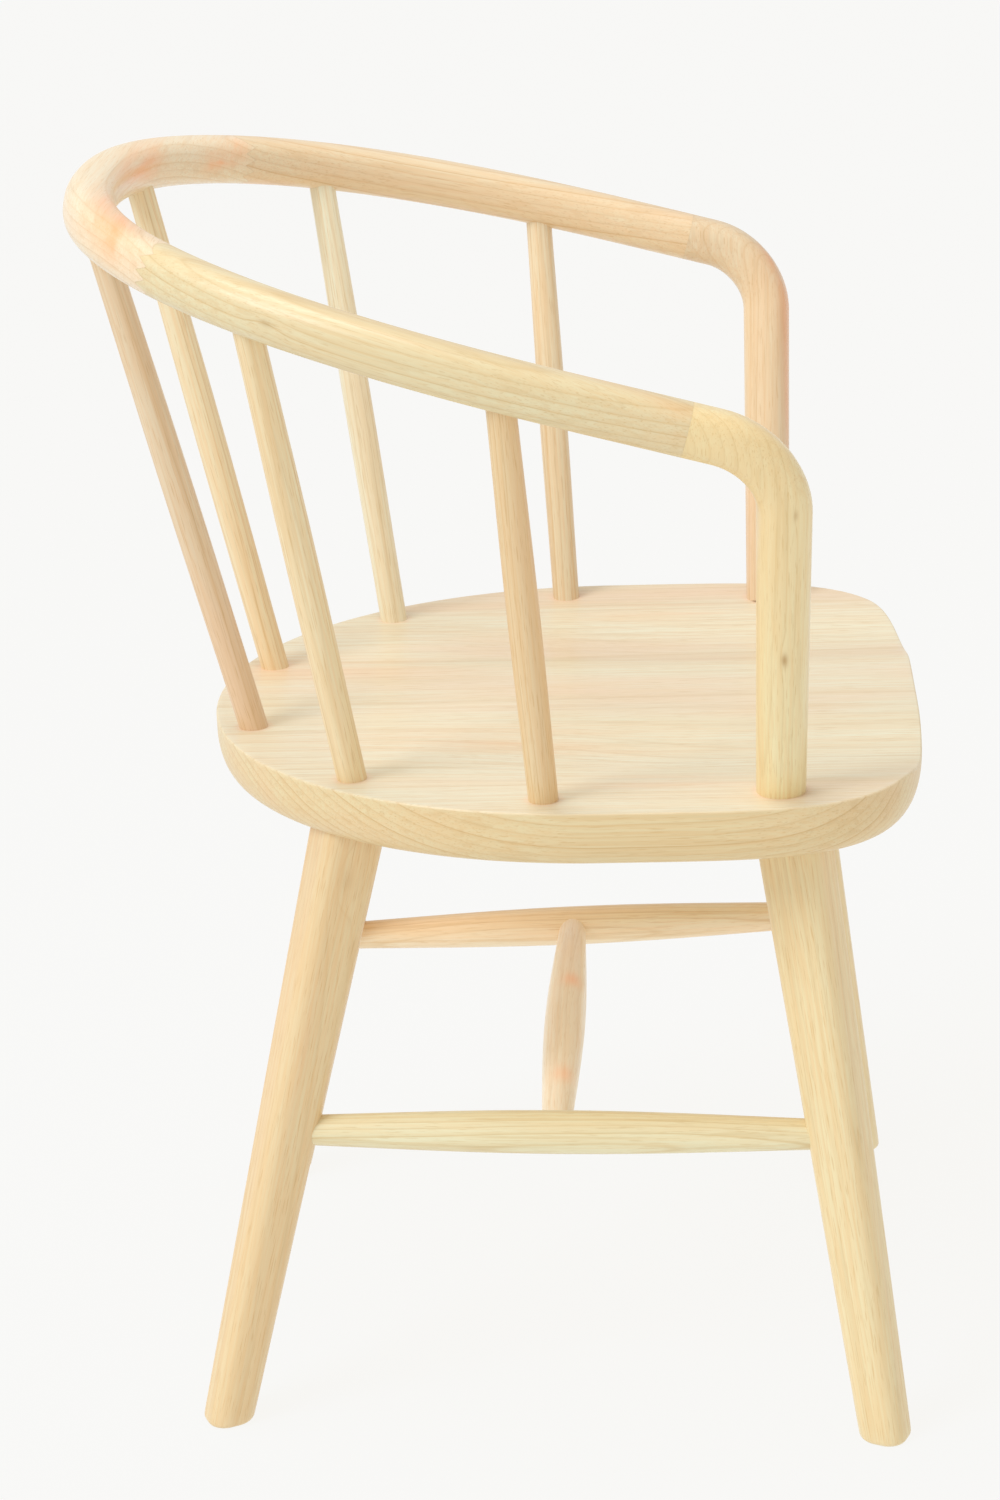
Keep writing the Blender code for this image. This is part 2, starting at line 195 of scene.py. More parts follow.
def makeStage():
    bench = Bench("paleFloor")
    shade = bench.node("ShaderNodeBsdfDiffuse", None, {"Color": flat(studio["floorColour"])})
    glow = bench.node("ShaderNodeEmission", None, {"Color": flat(studio["floorGlow"]), "Strength": 1.0})
    both = bench.node("ShaderNodeMixShader", None, {0: studio["floorGlowShare"], 1: shade, 2: glow})
    bench.node("ShaderNodeOutputMaterial", None, {"Surface": both}, None)
    reach = studio["floorReach"]
    mesh = bpy.data.meshes.new("studioFloor")
    mesh.from_pydata([(-reach, -reach, 0), (reach, -reach, 0), (reach, reach, 0), (-reach, reach, 0)],
                     [], [(0, 1, 2, 3)])
    mesh.materials.append(bench.material)
    floor = bpy.data.objects.new("studioFloor", mesh)
    bpy.context.scene.collection.objects.link(floor)
    world = bpy.data.worlds.new("studioWorld")
    world.use_nodes = True
    background = world.node_tree.nodes["Background"]
    background.inputs["Color"].default_value = flat(studio["worldColour"])
    background.inputs["Strength"].default_value = studio["worldStrength"]
    bpy.context.scene.world = world
    key = bpy.data.lights.new("keyLight", "SUN")
    key.energy = studio["keyStrength"]
    key.angle = math.radians(studio["keySoftness"])
    key.color = studio["keyColour"]
    lamp = bpy.data.objects.new("keyLight", key)
    lamp.rotation_euler = Vector(studio["keyFrom"]).to_track_quat("Z", "Y").to_euler()
    bpy.context.scene.collection.objects.link(lamp)
    top = bpy.data.lights.new("topLight", "AREA")
    top.energy = studio["topStrength"]
    top.size = studio["topSize"]
    panel = bpy.data.objects.new("topLight", top)
    panel.location = studio["topPlace"]
    fromAim = panel.location - Vector(studio["topAim"])
    panel.rotation_euler = fromAim.to_track_quat("Z", "Y").to_euler()
    bpy.context.scene.collection.objects.link(panel)
    bpy.context.scene.view_settings.view_transform = "Standard"


# wood
tones = {
    "pale": (0.87, 0.745, 0.53),
    "warm": (0.86, 0.62, 0.37),
    "line": (0.66, 0.42, 0.19),
    "blush": (0.93, 0.56, 0.36),
    "knot": (0.50, 0.30, 0.13),
    # flame: orange streak tone; on the seat it is partly painted shadow
    "flameAndShadow": (0.98, 0.40, 0.15),
    "seam": (0.50, 0.32, 0.17),
    # edge: a darker, yellower tone multiplied on the seat's wall and undercut; painted shade on the
    # side, partly the darker edge grain
    "edge": (0.97, 0.86, 0.66),
    "worn": (0.93, 0.82, 0.62),
}

# noises laid along the board: stretch along and across the grain, a step in the seed,
# detail and roughness, and the ramp that picks out the mark
figure = {
    "wander": {"stretch": (1.6, 9.0, 9.0), "step": 0.0},
    "ripple": {"stretch": (9.0, 60.0, 60.0), "step": 2.0},
    "fibre": {"stretch": (14.0, 620.0, 620.0), "step": 4.0, "detail": 3.0, "roughness": 0.6,
              "stops": ((0.36, 0.0), (0.66, 1.0))},
    "pore": {"stretch": (55.0, 1500.0, 1500.0), "step": 6.0, "detail": 1.0,
             "stops": ((0.58, 0.0), (0.70, 1.0))},
    "streak": {"stretch": (2.2, 42.0, 42.0), "step": 8.0, "detail": 3.0, "roughness": 0.55,
               "stops": ((0.40, 0.0), (0.66, 1.0))},
    "patch": {"stretch": (2.6, 13.0, 13.0), "step": 10.0, "stops": ((0.47, 0.0), (0.68, 1.0))},
    "strand": {"stretch": (4.0, 230.0, 230.0), "step": 12.0, "stops": ((0.54, 0.0), (0.64, 1.0))},
}

yearRings = {
    "wanderReach": 6.0, "rippleReach": 0.45,  # times a board's warp
    "lateStops": ((0.0, 0.22), (0.08, 0.0), (0.50, 0.06), (0.80, 0.30), (0.92, 1.0), (1.0, 0.22)),
    "lateFloor": 0.38, "lateSpread": 0.62,  # pale years and dark ones
    "edgeGain": 0.4,
}

marks = {
    "knotLength": 0.4, "knotSwirl": 0.12, "knotPull": 1.6,
    "flameAndShadowFloor": 0.25, "flameAndShadowSpread": 0.95,
    "poreShare": 0.7,
    "footReach": 0.006, "footOverlap": 0.0005, "footStainAndShade": 0.34,
    "wearFloor": 0.35, "wearSpread": 0.9, "wearShare": 0.22, "seamShare": 0.22,
}

finishCoat = {
    "ior": 1.46, "specular": 0.42, "coatRoughness": 0.24, "bumpDistance": 0.0004,
    "fibreRoughness": 0.10, "poreRoughness": 0.10, "wearPolish": 0.07,
    "fibreDepth": 0.5, "poreDepth": 0.8, "lateDepth": 0.35,
}

plainWood = {
    "ringWidth": 0.0050,
    "pith": (0.06, 0.05),
    "warp": 0.0035,
    "ringContrast": 0.45,
    "fibreContrast": 0.30,
    "strand": 0.22,
    "blush": 0.25,
    "warmth": 0.5,
    "tint": (1.0, 1.0, 1.0),
    "roughness": 0.38,
    "coat": 0.25,
    "bump": 0.10,
    "seed": 1.0,
    "knots": (),
    "flamesAndShadowStreaks": (),
    "feet": (),
    "edgeGrainAndShadeDepth": 0.0,
}


def grainAxes(grain):
    along = Vector(grain).normalized()
    hint = Vector((1.0, 0.0, 0.0)) if abs(along.x) < 0.8 else Vector((0.0, 1.0, 0.0))
    one = (hint - along * hint.dot(along)).normalized()
    return along, one, along.cross(one)


def woodFinish(name, centre, grain, **changes):
    # growth rings round a pith beside the board, cut by the piece's own surface
    look = {**plainWood, **changes}
    bench = Bench(name)
    seed = look["seed"]
    place = bench.node("ShaderNodeTexCoord", None, None, "Object")
    fromCentre = bench.vector("SUBTRACT", place, centre)
    axes = grainAxes(grain)
    parts = [bench.vector("DOT_PRODUCT", fromCentre, tuple(axis), "Value") for axis in axes]
    board = bench.node("ShaderNodeCombineXYZ", None, {0: parts[0], 1: parts[1], 2: parts[2]})

    knotCore = None
    knotPull = 0.0
    for spot, size, strength in look["knots"]:
        away = bench.vector("SUBTRACT", place, spot)
        local = [bench.vector("DOT_PRODUCT", away, tuple(axis), "Value") for axis in axes]
        across = (local[0] * marks["knotLength"]) ** 2.0 + local[1] ** 2.0 + local[2] ** 2.0
        near = across / (size * size)
        core = bench.fade(near) * strength
        knotPull = bench.fade(near * marks["knotSwirl"]) * (size * marks["knotPull"]) + knotPull
        knotCore = core if knotCore is None else core + knotCore

    one = parts[1] - look["pith"][0]
    two = parts[2] - look["pith"][1]
    radius = (one * one + two * two) ** 0.5
    wander = bench.grain(board, seed, "wander") * (look["warp"] * yearRings["wanderReach"])
    ripple = bench.grain(board, seed, "ripple") * (look["warp"] * yearRings["rippleReach"])
    turn = (radius + wander + ripple + knotPull) / look["ringWidth"]
    year = bench.node("ShaderNodeMath", {"operation": "FLOOR"}, {0: turn})
    growth = bench.node("ShaderNodeMath", {"operation": "FRACT"}, {0: turn})
    yearTone = bench.node("ShaderNodeTexWhiteNoise", {"noise_dimensions": "1D"}, {"W": year + seed})
    lateLine = bench.ramp(growth, yearRings["lateStops"])
    lateLine = lateLine * (yearRings["lateFloor"] + yearRings["lateSpread"] * yearTone)

    fibreTone = bench.grain(board, seed, "fibre")
    poreTone = bench.grain(board, seed, "pore")
    streakTone = bench.grain(board, seed, "streak")
    patchTone = bench.grain(board, seed, "patch")
    strandTone = bench.grain(board, seed, "strand")

    # side is one on the seat's wall and undercut: it strengthens the ring lines there and carries the
    # painted side shade
    side = bench.attribute("edgeGrain") * look["edgeGrainAndShadeDepth"]
    base = bench.mix(streakTone * look["warmth"], flat(tones["pale"]), flat(tones["warm"]))
    base = bench.mix(patchTone * look["blush"], base, flat(tones["blush"]))
    late = lateLine * (look["ringContrast"] + yearRings["edgeGain"] * side)
    base = bench.mix(late, base, flat(tones["line"]))
    base = bench.mix(strandTone * look["strand"], base, flat(tones["line"]))
    base = bench.mix(fibreTone * look["fibreContrast"], base, flat(tones["warm"]))
    base = bench.mix(poreTone * (marks["poreShare"] * look["fibreContrast"]), base, flat(tones["line"]))
    if knotCore is not None:
        base = bench.mix(bench.node("ShaderNodeClamp", None, {0: knotCore}), base, flat(tones["knot"]))
    # orange streaks along the grain: wood colour on most pieces; on the seat, partly painted shadow
    # where the spindles cast soft shadows
    for spot, length, breadth, strength in look["flamesAndShadowStreaks"]:
        away = bench.vector("SUBTRACT", place, spot)
        local = [bench.vector("DOT_PRODUCT", away, tuple(axis), "Value") for axis in axes]
        near = (local[0] / length) ** 2.0 + (local[1] ** 2.0 + local[2] ** 2.0) / (breadth * breadth)
        share = bench.fade(near) * (marks["flameAndShadowFloor"] + marks["flameAndShadowSpread"] * streakTone) * strength
        base = bench.mix(bench.node("ShaderNodeClamp", None, {0: share}), base, flat(tones["flameAndShadow"]))

    # a reddish ring round each post and spindle where it stands in the seat: partly glue stain, partly
    # painted shade where the parts meet
    for footX, footY, footRadius in look["feet"]:
        away = bench.vector("SUBTRACT", place, (footX, footY, 0.0))
        level = bench.vector("MULTIPLY", away, (1.0, 1.0, 0.0))
        gap = bench.vector("LENGTH", level, (0.0, 0.0, 0.0), "Value")
        stainAndShade = bench.node("ShaderNodeMapRange", {"interpolation_type": "SMOOTHSTEP"},
                           {0: gap, 1: footRadius + marks["footReach"],
                            2: footRadius - marks["footOverlap"], 3: 0.0, 4: marks["footStainAndShade"]})
        base = bench.mix(stainAndShade, base, flat(tones["blush"]))

    wear = bench.attribute("wear") * (marks["wearFloor"] + marks["wearSpread"] * streakTone)
    base = bench.mix(wear * marks["wearShare"], base, flat(tones["worn"]))
    base = bench.mix(bench.attribute("seam") * marks["seamShare"], base, flat(tones["seam"]))
    # painted shade: the seat's side darker and yellower than its top, partly the darker edge grain
    base = bench.mix(side, base, flat(tones["edge"]), "MULTIPLY")
    base = bench.mix(1.0, base, flat(look["tint"]), "MULTIPLY")

    rough = (look["roughness"] + finishCoat["fibreRoughness"] * fibreTone
             + finishCoat["poreRoughness"] * poreTone - finishCoat["wearPolish"] * wear)
    height = (fibreTone * -finishCoat["fibreDepth"] + poreTone * -finishCoat["poreDepth"]
              + lateLine * -finishCoat["lateDepth"])
    bump = bench.node("ShaderNodeBump", None, {
        "Strength": look["bump"], "Distance": finishCoat["bumpDistance"], "Height": height})
    shader = bench.node("ShaderNodeBsdfPrincipled", None,
                        {"Base Color": base, "Roughness": rough, "Metallic": 0.0,
                         "IOR": finishCoat["ior"], "Specular IOR Level": finishCoat["specular"],
                         "Coat Weight": look["coat"], "Coat Roughness": finishCoat["coatRoughness"],
                         "Normal": bump})
    bench.node("ShaderNodeOutputMaterial", None, {"Surface": shader}, None)
    return bench.material


# shapes
def powered(value, power):
    return np.sign(value) * np.abs(value) ** (2.0 / power)


def ease(value, start, end):
    share = np.clip((value - start) / (end - start), 0.0, 1.0)
    return share * share * (3.0 - 2.0 * share)


def unit(vectors):
    return vectors / np.linalg.norm(vectors, axis=-1, keepdims=True)


def layPiece(name, loops, node, finish, wear=None, seam=None, edgeGrain=None, ladder=False):
    # loops: one round of points after another; a ladder closes the ends with rungs across
    count, around = loops.shape[:2]
    bm = bmesh.new()
    places = loops.reshape(-1, 3) + np.array((0.0, shiftY, 0.0))
    points = [bm.verts.new(place) for place in places]
    for r in range(count - 1):
        for s in range(around):
            t = (s + 1) % around
            bm.faces.new((points[r * around + s], points[r * around + t],
                          points[(r + 1) * around + t], points[(r + 1) * around + s]))
    for first in (0, (count - 1) * around):
        loop = points[first:first + around]
        if not ladder:
            bm.faces.new(loop)
            continue
        quarter = around // 4
        for s in range(-quarter, quarter):
            a, b = loop[s % around], loop[(s + 1) % around]
            c, d = loop[(2 * quarter - s - 1) % around], loop[(2 * quarter - s) % around]
            corners = []
            for corner in (a, b, c, d):
                if corner not in corners:
                    corners.append(corner)
            bm.faces.new(corners)
    bmesh.ops.recalc_face_normals(bm, faces=bm.faces)
    mesh = bpy.data.meshes.new(name)
    bm.to_mesh(mesh)
    bm.free()
    for word, values in (("wear", wear), ("seam", seam), ("edgeGrain", edgeGrain)):
        layer = mesh.attributes.new(word, "FLOAT", "POINT")
        if values is not None:
            layer.data.foreach_set("value", np.ascontiguousarray(values, dtype=np.float32).ravel())
    mesh.shade_smooth()
    mesh.set_sharp_from_angle(angle=math.radians(sharpAngle))
    mesh.materials.append(finish)
    piece = bpy.data.objects.new(name, mesh)
    bpy.context.scene.collection.objects.link(piece)
    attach(piece, "root")
    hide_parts(node)
    node + "_wood"


# seat
seat = {
    "height": 0.442, "thickness": 0.036,
    "halfWidth": 0.233, "frontDepth": 0.2035, "backDepth": 0.2585, "widestY": -0.040,
    "frontPower": 4.3, "backPower": 2.05,
    "rimRadius": 0.0014, "wallDepth": 0.011, "undercut": 0.012,
    "hollowDepth": 0.009, "hollowX": 0.115, "hollowHalfWidth": 0.070,
    "hollowFrontY": -0.120, "hollowBackY": 0.120,
    "around": 320, "topRings": 56, "topCrowding": 0.8, "rimRings": 6, "wallShares": (0.25, 0.5, 0.75),
    "edgeRings": 22, "brinkWear": 0.6, "rimWear": 1.0, "wallWear": 0.3,
}
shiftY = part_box("seat")[0].y - (seat["widestY"] - seat["frontDepth"])  # drawing to frame

seatWood = {
    "pith": (0.02, 0.26), "ringWidth": 0.0055, "warp": 0.0020,
    "ringContrast": 0.42, "fibreContrast": 0.50, "strand": 0.22,
    "blush": 0.45, "warmth": 0.30, "edgeGrainAndShadeDepth": 1.0,
    "tint": (0.955, 1.055, 1.145), "seed": 3.0,
    # these pink streaks are partly wood colour and partly painted shadow, laid along the soft shadows
    # of the spindles
    "flamesAndShadowStreaks": (((0.0513, 0.1533, 0.442), 0.080, 0.030, 0.18),  # place, length, breadth, strength
               ((-0.0967, 0.0376, 0.441), 0.110, 0.026, 0.20),
               ((-0.1752, -0.0905, 0.441), 0.070, 0.014, 0.18),
               ((0.1736, -0.1250, 0.441), 0.090, 0.030, 0.18)),
}


def chairPlace(x, y, z):
    return (x, y + shiftY, z)


def footMarks():
    # x, y and radius of all that stands in the seat
    feet = [(side * bow["footX"], bow["footY"] + shiftY, bow["postDiameter"] / 2.0)
            for side in sides.values()]
    for x, y in spindle["foot"].values():
        feet += [(side * x, y + shiftY, spindle["footRadius"]) for side in sides.values()]
    return feet


def seatLoop(inset, share=1.0):
    turn = 2.0 * np.pi * np.arange(seat["around"]) / seat["around"]
    front = np.sin(turn) < 0.0
    depth = np.where(front, seat["frontDepth"], seat["backDepth"])
    power = np.where(front, seat["frontPower"], seat["backPower"])
    x = (seat["halfWidth"] - inset) * share * powered(np.cos(turn), power)
    y = seat["widestY"] + (depth - inset) * share * powered(np.sin(turn), power)
    return x, y


def seatTop(x, y):
    # two thigh hollows, open at the front, with a ridge between them
    reach = np.minimum(np.abs(np.abs(x) - seat["hollowX"]) / seat["hollowHalfWidth"], 1.0)
    lateral = np.cos(reach * np.pi / 2.0) ** 2
    forward = 1.0 - ease(y, seat["hollowFrontY"], seat["hollowBackY"])
    return seat["height"] - seat["hollowDepth"] * lateral * forward


def makeSeat():
    finish = woodFinish("seatWood", chairPlace(0.0, 0.0, seat["height"]), (0.0, 1.0, 0.0),
                        feet=footMarks(), **seatWood)
    loops = []
    wear = []
    edgeGrain = []
    rim = seat["rimRadius"]
    shares = np.linspace(0.0, 1.0, seat["topRings"] + 1)[1:] ** seat["topCrowding"]
    for share in shares:
        x, y = seatLoop(rim, share)
        loops.append(np.stack((x, y, seatTop(x, y)), axis=-1))
        wear.append(np.full(len(x), 0.0 if share < 1.0 else seat["brinkWear"]))
        edgeGrain.append(np.zeros(len(x)))
    for i in range(1, seat["rimRings"] + 1):
        turn = math.pi / 2.0 * i / seat["rimRings"]
        x, y = seatLoop(rim * (1.0 - math.sin(turn)))
        z = seatTop(x, y) - rim * (1.0 - math.cos(turn))
        loops.append(np.stack((x, y, z), axis=-1))
        wear.append(np.full(len(x), seat["rimWear"]))
        edgeGrain.append(np.full(len(x), i / seat["rimRings"]))
    x, y = seatLoop(0.0)
    lip = seatTop(x, y) - rim
    wallFoot = seat["height"] - seat["wallDepth"]
    # the wall and the undercut take the full edge grain and the painted side shade
    for share in seat["wallShares"]:
        loops.append(np.stack((x, y, lip + (wallFoot - lip) * share), axis=-1))
        wear.append(np.full(len(x), seat["wallWear"] * (1.0 - share)))
        edgeGrain.append(np.ones(len(x)))
    for i in range(seat["edgeRings"] + 1):
        turn = math.pi / 2.0 * i / seat["edgeRings"]
        x, y = seatLoop(seat["undercut"] * (1.0 - math.cos(turn)))
        drop = seat["wallDepth"] + (seat["thickness"] - seat["wallDepth"]) * math.sin(turn)
        loops.append(np.stack((x, y, np.full(len(x), seat["height"] - drop)), axis=-1))
        wear.append(np.zeros(len(x)))
        edgeGrain.append(np.ones(len(x)))
    layPiece("seatBoard", np.array(loops), "seat", finish, np.array(wear),
             edgeGrain=np.array(edgeGrain))


# bow: crest, arms, elbows and posts along one line
bow = {
    "halfWidth": 0.270, "backDepth": 0.3345, "sideY": -0.060, "power": 2.3,
    "height": 0.7148, "slope": 0.265, "sag": 0.04,
    "thickness": 0.0315, "sectionPower": 2.5,
    "crestReach": 0.199, "fingerLength": 0.009, "fingerCount": 4,
    "cornerY": -0.154, "footX": 0.197, "footY": -0.151, "postDiameter": 0.0305,
    "elbowReach": 0.038, "elbowFullness": 0.56, "armJointY": -0.0985,
    "hairline": 0.00002, "seamWidth": 0.0005, "seamFade": 0.55, "buttSeam": 0.15,
    "postDepth": 0.004, "postTrim": 0.001, "around": 128, "step": 0.003, "lineStep": 0.001,
    "backPoints": 1600, "armPoints": 120, "elbowPoints": 400, "postPoints": 200,
}

boards = {  # middle of the board and the way its grain runs, on the left half
    "crest": ((0.0, 0.24, 0.78), (1.0, 0.0, 0.0)),
    "arm": ((0.26, 0.02, 0.72), (0.27, -0.93, -0.25)),
    "post": ((0.235, -0.15, 0.6), (0.27, -0.01, 0.96)),
}

crestWood = {
    "pith": (0.05, -0.16), "ringWidth": 0.0048, "warp": 0.0024,
    "ringContrast": 0.66, "fibreContrast": 0.50,
    "blush": 0.16, "warmth": 0.45, "coat": 0.6, "tint": (1.02, 1.05, 1.08), "seed": 11.0,
    "flamesAndShadowStreaks": (((0.1530, 0.1883, 0.7761), 0.090, 0.010, 0.85),
               ((0.0600, 0.2300, 0.7860), 0.050, 0.009, 0.60),
               ((-0.1089, 0.2314, 0.7957), 0.070, 0.010, 0.90),
               ((-0.1617, 0.2116, 0.7881), 0.060, 0.013, 0.70),
               ((0.0273, 0.2344, 0.7886), 0.060, 0.016, 0.40)),
}
armWood = {
    "both": {"ringWidth": 0.0060, "warp": 0.0014, "ringContrast": 0.78, "fibreContrast": 0.50,
             "warmth": 0.45, "coat": 0.5},
    "Right": {"pith": (-0.05, 0.22), "blush": 0.14, "tint": (0.91, 0.945, 0.84), "seed": 17.0,
              "knots": (((-0.2477, 0.1165, 0.7506), 0.0020, 0.45),),  # place, size, strength
              "flamesAndShadowStreaks": (((-0.272, -0.085, 0.712), 0.075, 0.013, 0.26),)},
    "Left": {"pith": (0.05, 0.22), "blush": 0.45, "tint": (0.985, 0.95, 0.90), "seed": 23.0},
}
postWood = {
    "both": {"ringWidth": 0.0058, "warp": 0.0022, "ringContrast": 0.46, "fibreContrast": 0.50,
             "warmth": 0.45, "coat": 0.5},
    "Right": {"pith": (-0.11, 0.12), "blush": 0.10, "tint": (1.02, 1.04, 0.86), "seed": 29.0,
              "knots": (((-0.2445, -0.1765, 0.5409), 0.0019, 0.85),
                        ((-0.2734, -0.1830, 0.6374), 0.0014, 0.6))},
    "Left": {"pith": (0.11, 0.12), "blush": 0.35, "tint": (0.92, 0.89, 0.86), "seed": 31.0,
             "flamesAndShadowStreaks": (((0.2655, -0.1827, 0.6681), 0.030, 0.010, 0.90),
                        ((0.2537, -0.1913, 0.6402), 0.035, 0.008, 0.90),
                        ((0.2383, -0.1911, 0.5894), 0.050, 0.006, 0.75))},
}


def boardOf(name, side=1.0):
    (x, y, z), (alongX, alongY, alongZ) = boards[name]
    return chairPlace(side * x, y, z), (side * alongX, alongY, alongZ)


def bowLevel(y):
    return bow["height"] + bow["slope"] * y - bow["sag"] * y * y


class Rail:
    # half the bow, from the middle of the back round the left arm and down to the seat
    def __init__(self):
        turn = np.linspace(0.0, np.pi / 2.0, bow["backPoints"])
        x = bow["halfWidth"] * powered(np.sin(turn), bow["power"])
        y = bow["sideY"] + bow["backDepth"] * powered(np.cos(turn), bow["power"])
        back = np.stack((x, y, bowLevel(y)), axis=-1)
        armEndY = bow["cornerY"] + bow["elbowReach"]
        y = np.linspace(bow["sideY"], armEndY, bow["armPoints"])[1:]
        arm = np.stack((np.full(len(y), bow["halfWidth"]), y, bowLevel(y)), axis=-1)
        corner = np.array((bow["halfWidth"], bow["cornerY"], bowLevel(bow["cornerY"])))
        foot = np.array((bow["footX"], bow["footY"], seat["height"]))
        down = unit(foot - corner)
        armEnd = arm[-1]
        postTop = corner + down * bow["elbowReach"]
        before = armEnd + (corner - armEnd) * bow["elbowFullness"]
        after = postTop + (corner - postTop) * bow["elbowFullness"]
        t = np.linspace(0.0, 1.0, bow["elbowPoints"])[1:, None]
        s = 1.0 - t
        elbow = armEnd * s ** 3 + before * 3 * s * s * t + after * 3 * s * t * t + postTop * t ** 3
        t = np.linspace(0.0, 1.0, bow["postPoints"])[1:, None]
        post = postTop + (foot + down * bow["postDepth"] - postTop) * t
        line = np.concatenate((back, arm, elbow, post))
        reach = np.concatenate(((0.0,), np.cumsum(np.linalg.norm(np.diff(line, axis=0), axis=1))))
        self.length = reach[-1]
        self.reach = np.arange(0.0, self.length, bow["lineStep"])
        self.centre = np.stack([np.interp(self.reach, reach, line[:, k]) for k in range(3)], axis=-1)
        heading = np.gradient(self.centre, axis=0)
        heading[0] = (1.0, 0.0, 0.0)
        heading = unit(heading)
        elbowStart = reach[len(back) + len(arm) - 1]
        self.elbowEnd = reach[len(back) + len(arm) + len(elbow) - 1]
        y = self.centre[:, 1]
        rise = bow["slope"] - 2 * bow["sag"] * y
        normal = unit(np.stack((np.zeros(len(y)), -rise, np.ones(len(y))), axis=-1))
        self.sideways = np.zeros_like(heading)
        self.upward = np.zeros_like(heading)
        for i in range(len(y)):
            hint = normal[i] if self.reach[i] <= elbowStart else self.upward[i - 1]
            self.sideways[i] = unit(np.cross(hint, heading[i]))
            self.upward[i] = np.cross(heading[i], self.sideways[i])
        self.armJoint = self.reach[np.argmax(y <= bow["armJointY"])]

    def read(self, table, distance):
        away = np.abs(distance)
        return np.stack([np.interp(away, self.reach, table[:, k]) for k in range(3)], axis=-1)

    def ring(self, distance, side=1.0):
        # one distance for each point round the section; below zero is the right half
        turn = 2.0 * np.pi * np.arange(bow["around"]) / bow["around"]
        share = np.clip((np.abs(distance) - self.elbowEnd) / (self.length - self.elbowEnd), 0.0, 1.0)
        half = (bow["thickness"] + (bow["postDiameter"] - bow["thickness"]) * share) / 2.0
        power = bow["sectionPower"] + (2.0 - bow["sectionPower"]) * share
        x = half * powered(np.cos(turn), power)
        y = half * powered(np.sin(turn), power)
        points = (self.read(self.centre, distance) + self.read(self.sideways, distance) * x[:, None]
                  + self.read(self.upward, distance) * y[:, None])
        points[:, 0] *= np.where(distance < 0.0, -1.0, 1.0) * side
        return points


def zigzag():
    # how far the finger joint leans forward at each point round the section
    turn = 2.0 * np.pi * np.arange(bow["around"]) / bow["around"]
    up = bow["thickness"] / 2.0 * powered(np.sin(turn), bow["sectionPower"])
    pitch = bow["thickness"] / bow["fingerCount"]
    phase = ((up + bow["thickness"]) / pitch) % 1.0
    return bow["fingerLength"] * (np.abs(2.0 * phase - 1.0) * -1.0 + 0.5)


def sweep(rail, start, end, side=1.0):
    # start and end: one distance for each point round the section; the seam marks lie at both ends
    length = float(np.mean(end) - np.mean(start))
    count = int(round(length / bow["step"]))
    inner = list(np.linspace(0.0, 1.0, count + 1))
    nib = bow["seamWidth"] / length
    shares = sorted(set(inner + [nib, 2 * nib, 1.0 - 2 * nib, 1.0 - nib]))
    loops = np.array([rail.ring(start + (end - start) * share, side) for share in shares])
    seam = np.zeros(loops.shape[:2])
    seam[0] = seam[-1] = 1.0
    seam[1] = seam[-2] = bow["seamFade"]
    return loops, seam


def makeBow(rail):
    lean = zigzag()
    reach = bow["crestReach"]
    gap = bow["hairline"]
    straight = np.zeros(bow["around"])
    loops, seam = sweep(rail, -(reach + lean - gap), reach + lean - gap)
    finish = woodFinish("crestWood", *boardOf("crest"), **crestWood)
    layPiece("crestRail", loops, "crest_rail", finish, seam=seam, ladder=True)
    for word, side in sides.items():
        node = word.lower()
        loops, seam = sweep(rail, reach + lean + gap, rail.armJoint - gap + straight, side)
        seam[-2:] *= bow["buttSeam"]
        finish = woodFinish("armWood" + word, *boardOf("arm", side),
                            **armWood["both"], **armWood[word])
        layPiece("armRail" + word, loops, "arm_rail_" + node, finish, seam=seam, ladder=True)
        postEnd = rail.length - bow["postTrim"]
        loops, seam = sweep(rail, rail.armJoint + gap + straight, postEnd + straight, side)
        seam[:2] *= bow["buttSeam"]
        seam[-2:] = 0.0
        finish = woodFinish("postWood" + word, *boardOf("post", side),
                            **postWood["both"], **postWood[word])
        layPiece("elbowPost" + word, loops, "arm_post_" + node, finish, seam=seam, ladder=True)


# spindles
spindle = {
    "foot": {"Front": (0.206, -0.0065), "Middle": (0.1625, 0.1145), "Back": (0.0615, 0.188)},
    "bearing": {"Front": 88.4, "Middle": 54.6, "Back": 17.9},
    "footRadius": 0.0093, "headRadius": 0.0088, "swell": 0.0008,
    "depth": 0.010, "around": 56, "rings": 60,
}
sectionHint = (0.0, 1.0, 0.3)  # a way that no turned piece runs

spindleWood = {
    "all": {"ringWidth": 0.0032, "warp": 0.0018, "ringContrast": 0.74, "fibreContrast": 0.62,
            "strand": 0.34, "warmth": 0.6},
    "FrontRight": {"pith": (0.026, 0.022), "blush": 0.15, "tint": (0.95, 0.89, 0.755), "seed": 43.0},
    "FrontLeft": {"pith": (0.032, 0.014), "blush": 0.15, "tint": (0.945, 0.94, 0.91), "seed": 46.0},
    "MiddleRight": {"pith": (0.038, 0.006), "blush": 0.10, "tint": (1.035, 1.06, 0.98), "seed": 49.0},
    "MiddleLeft": {"pith": (0.044, -0.002), "blush": 0.10, "tint": (1.05, 1.18, 1.27), "seed": 52.0},
    "BackRight": {"pith": (0.050, -0.010), "blush": 0.30, "tint": (0.93, 0.90, 0.88), "seed": 55.0},
    "BackLeft": {"pith": (0.056, -0.018), "blush": 0.15, "tint": (1.02, 1.03, 0.965), "seed": 58.0},
}


def spindleEnds(rail, which, side):
    x, y = spindle["foot"][which]
    bearing = np.degrees(np.arctan2(rail.centre[:, 0], rail.centre[:, 1]))
    head = rail.centre[np.argmax(bearing >= spindle["bearing"][which])] * (side, 1.0, 1.0)
    return np.array((side * x, y, seat["height"])), head


